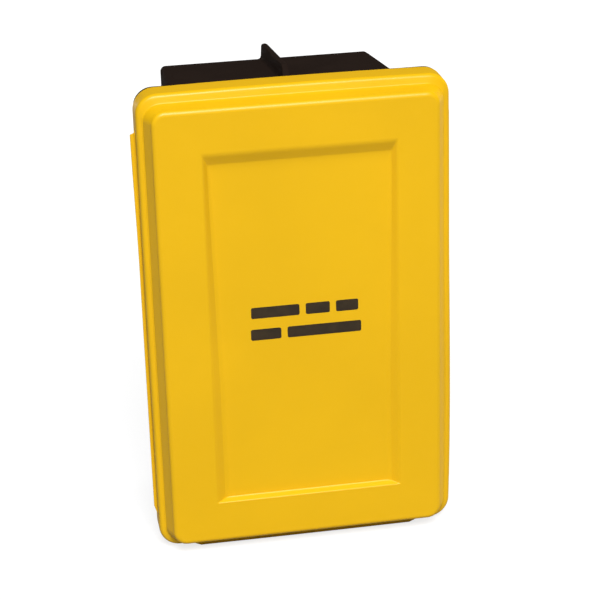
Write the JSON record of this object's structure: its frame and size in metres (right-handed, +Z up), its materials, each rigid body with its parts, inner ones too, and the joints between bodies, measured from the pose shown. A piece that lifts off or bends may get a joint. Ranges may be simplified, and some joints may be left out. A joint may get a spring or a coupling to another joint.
{
  "type": "emergency respirator wall case",
  "caption": "Wall case with a hinged moulded door and a tapered back shell, holding an escape hood with a visor and filter canister on a hook.",
  "frame": {"origin": "centre of the flat rear face that rests on the wall", "axes": "+X to the viewer's right, +Y into the wall, +Z up; the door faces -Y"},
  "size_m": [0.3519, 0.221, 0.5494],
  "materials": {
    "yellow_shell": "satin moulded plastic",
    "black_shell": "fine matt moulding grain",
    "gasket": "closed-cell foam rubber",
    "hinge_steel": "drawn stainless rod",
    "hook_steel": "zinc plated",
    "screw_steel": "stainless",
    "strike_steel": "zinc plated",
    "catch_plastic": "moulded nylon",
    "magnet": "sintered ferrite",
    "hood_fabric": "coated woven fabric",
    "visor_binding": "welded binding",
    "visor_sheet": "clear flexible sheet",
    "neck_elastic": "knitted elastic",
    "webbing": "woven webbing",
    "strap_elastic": "knitted elastic",
    "port_plastic": "glass filled nylon",
    "silicone": "moulded silicone",
    "canister_paint": "satin enamel",
    "carbon": "granular carbon",
    "filter_paper": "pleated paper",
    "cap_plastic": "moulded plastic"
  },
  "bodies": {
    "case": {"back_shell": "black_shell", "catch_housing_lower": "catch_plastic", "catch_housing_upper": "catch_plastic", "catch_magnet_lower": "magnet", "catch_magnet_upper": "magnet", "catch_screw_lower_inner": "screw_steel", "catch_screw_lower_outer": "screw_steel", "catch_screw_upper_inner": "screw_steel", "catch_screw_upper_outer": "screw_steel", "door_gasket": "gasket", "hinge_pin": "hinge_steel", "hook_bracket": "hook_steel", "hook_screw_lower": "screw_steel", "hook_screw_upper": "screw_steel"},
    "door": {"door": "yellow_shell", "strike_plate_lower": "strike_steel", "strike_plate_upper": "strike_steel", "strike_screw_lower_bottom": "screw_steel", "strike_screw_lower_top": "screw_steel", "strike_screw_upper_bottom": "screw_steel", "strike_screw_upper_top": "screw_steel"},
    "hood": {"hood_bag": "hood_fabric", "visor_frame": "visor_binding", "visor_lens": "visor_sheet", "neck_seal": "neck_elastic", "carry_loop": "webbing", "head_strap": "strap_elastic", "canister_adapter": "port_plastic", "adapter_nut": "port_plastic", "inhale_valve": "silicone", "nose_cup": "silicone", "exhale_seat": "port_plastic", "exhale_flap": "silicone", "exhale_cover": "port_plastic"},
    "canister": {"canister_housing": "canister_paint", "carbon_bed": "carbon", "particulate_filter": "filter_paper"},
    "cap": {"inlet_cap": "cap_plastic"}
  },
  "joints": [
    {"name": "door_swing", "type": "hinge", "parent": "case", "child": "door", "pos_m": [0.1734, -0.1703, 0], "axis": [0, 0, 1], "range_deg": [0, 170]},
    {"name": "hood_lift", "type": "slide", "parent": "case", "child": "hood", "axis": [0, 0, 1], "range_m": [0, 0.015]},
    {"name": "canister_turn", "type": "hinge", "parent": "hood", "child": "canister", "pos_m": [0, -0.17, -0.035], "axis": [0, -1, 0], "range_deg": [0, 180]},
    {"name": "cap_pull", "type": "slide", "parent": "canister", "child": "cap", "axis": [0, -1, 0], "range_m": [0, 0.01]}
  ]
}
